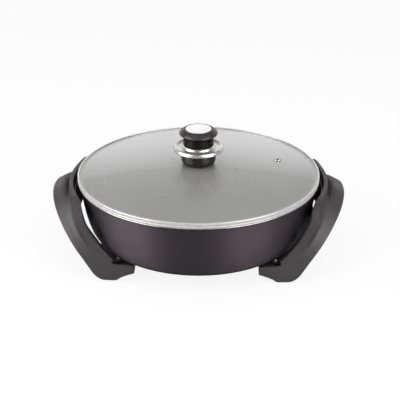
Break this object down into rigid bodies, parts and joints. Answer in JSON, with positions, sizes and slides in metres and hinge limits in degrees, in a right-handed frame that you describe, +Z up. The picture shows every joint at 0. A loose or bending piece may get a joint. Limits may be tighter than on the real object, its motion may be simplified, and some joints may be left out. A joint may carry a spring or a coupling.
{
  "type": "electric skillet",
  "caption": "Round electric skillet with arched side handles that are also its feet, a plug-in control socket and a domed glass lid that lifts off by its knob.",
  "frame": {"origin": "the centre of the bounding box's underside, on the table under the pan's centre", "axes": "+Z up; +X towards the plug socket, along the line through both handles; the pictured side faces -Y"},
  "size_m": [0.3874, 0.32, 0.1738],
  "materials": {
    "pan_coating": "cast aluminium under a satin charcoal non-stick coating, bare at the rim",
    "handle_plastic": "satin dark grey heat-resistant moulding with a fine spark texture",
    "knob_plastic": "polished black phenolic",
    "knob_chrome": "polished",
    "stainless": "brushed stainless steel",
    "lid_glass": "clear tempered glass with a faint grey tint",
    "spreader_aluminium": "as cast",
    "pin_ceramic": "unglazed white steatite",
    "seal_silicone": "translucent grey silicone",
    "foot_rubber": "matt black rubber"
  },
  "bodies": {
    "base": {"pan": "pan_coating", "heating_element": "stainless", "heat_spreader": "spreader_aluminium", "live_pin_bush": "pin_ceramic", "live_pin": "stainless", "neutral_pin_bush": "pin_ceramic", "neutral_pin": "stainless", "probe_well": "stainless", "base_cover": "stainless", "base_cover_screw_1": "stainless", "base_cover_screw_2": "stainless", "base_cover_screw_3": "stainless", "inlet_housing": "handle_plastic", "inlet_screw_1": "stainless", "inlet_screw_2": "stainless", "right_handle": "handle_plastic", "left_handle": "handle_plastic", "right_grip_plate": "handle_plastic", "left_grip_plate": "handle_plastic", "right_heat_shield": "handle_plastic", "left_heat_shield": "handle_plastic", "left_foot_tie": "handle_plastic", "right_foot_tie_front": "handle_plastic", "right_foot_tie_rear": "handle_plastic", "toe_spacer_left_front": "stainless", "toe_spacer_left_rear": "stainless", "toe_spacer_right_front": "stainless", "toe_spacer_right_rear": "stainless", "toe_screw_left_front": "stainless", "toe_screw_left_rear": "stainless", "toe_screw_right_front": "stainless", "toe_screw_right_rear": "stainless", "foot_pad_left_front": "foot_rubber", "foot_pad_left_rear": "foot_rubber", "foot_pad_right_front": "foot_rubber", "foot_pad_right_rear": "foot_rubber", "grip_screw_left_front": "stainless", "grip_screw_left_rear": "stainless", "grip_screw_right_front": "stainless", "grip_screw_right_rear": "stainless"},
    "lid": {"glass_lid": "lid_glass", "lid_rim_band": "stainless", "steam_vent_eyelet": "stainless", "knob_seal": "seal_silicone", "knob_base": "knob_plastic", "knob_guard": "knob_chrome", "knob_neck": "knob_plastic", "knob_cap": "knob_plastic", "knob_inlay": "knob_chrome", "knob_washer": "stainless", "knob_screw": "stainless"}
  },
  "joints": [
    {"name": "lid_lift", "type": "slide", "parent": "base", "child": "lid", "axis": [0, 0, 1], "range_m": [0, 0.2]}
  ]
}
